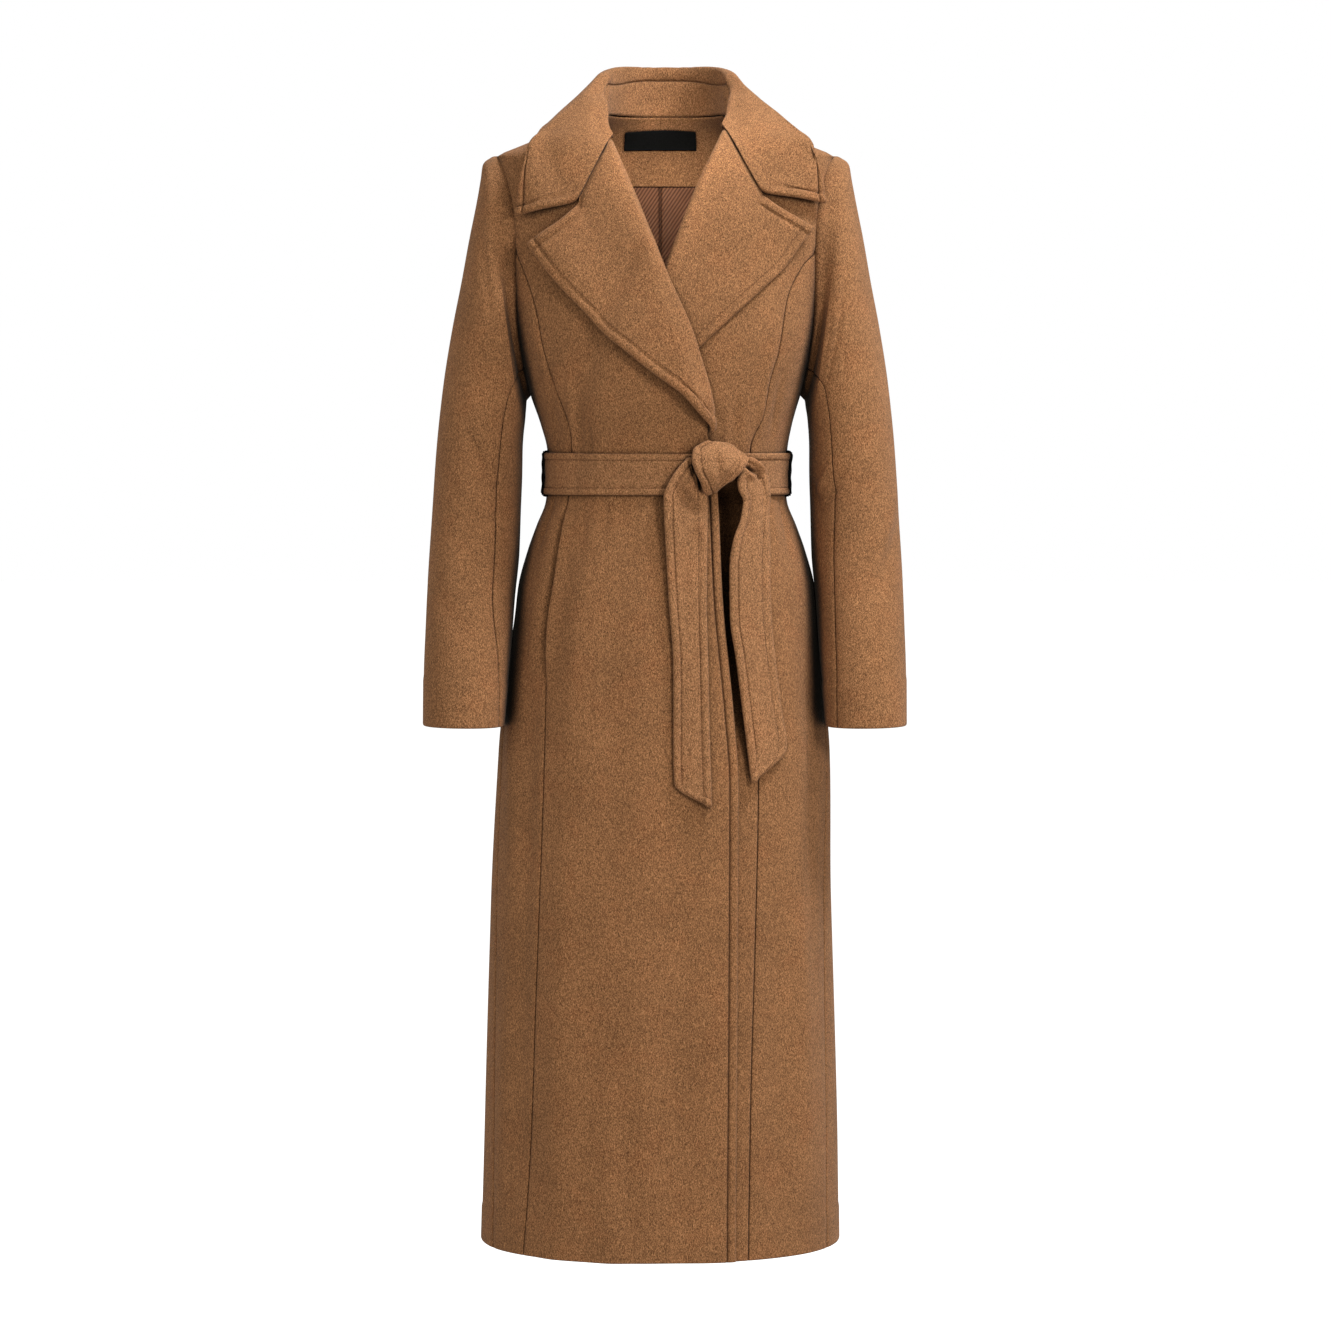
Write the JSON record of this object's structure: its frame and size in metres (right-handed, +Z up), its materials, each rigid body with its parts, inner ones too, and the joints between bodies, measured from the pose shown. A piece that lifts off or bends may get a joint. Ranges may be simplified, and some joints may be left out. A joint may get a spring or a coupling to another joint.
{
  "type": "wool wrap coat",
  "caption": "Long wool wrap coat in its worn, hollow form, with notched lapels, a wide collar, two-piece sleeves and a tied belt.",
  "frame": {"origin": "between the two shoulder tips, where the wearer's shoulders carry the coat", "axes": "+Z up from the hem to the collar, -Y to the coat's front, +X to the wearer's left"},
  "size_m": [0.5334, 0.3033, 1.3181],
  "materials": {
    "wool": "brushed camel wool coating with a short nap",
    "belt_wool": "brushed camel wool coating, two layers stitched along the edges",
    "lining": "dark brown diagonal twill lining, slight sheen",
    "label": "plain black woven label",
    "thread": "plain black thread chain"
  },
  "bodies": {
    "root": {"front_right": "wool", "front_right_skirt": "wool", "front_left": "wool", "front_left_skirt": "wool", "side_front_right": "wool", "side_front_right_skirt": "wool", "side_front_left": "wool", "side_front_left_skirt": "wool", "back_right": "wool", "back_right_skirt": "wool", "back_left": "wool", "back_left_skirt": "wool", "upper_sleeve_right": "wool", "under_sleeve_right": "wool", "upper_sleeve_left": "wool", "under_sleeve_left": "wool", "collar": "wool", "lapel_right": "wool", "lapel_left": "wool", "back_neck_facing": "wool", "belt_band": "belt_wool", "belt_knot_wrap": "belt_wool", "belt_knot_core": "belt_wool", "belt_tail_right": "belt_wool", "belt_tail_left": "belt_wool", "back_lining": "lining", "neck_label": "label", "belt_loop_right": "thread", "belt_loop_left": "thread"}
  },
  "joints": []
}
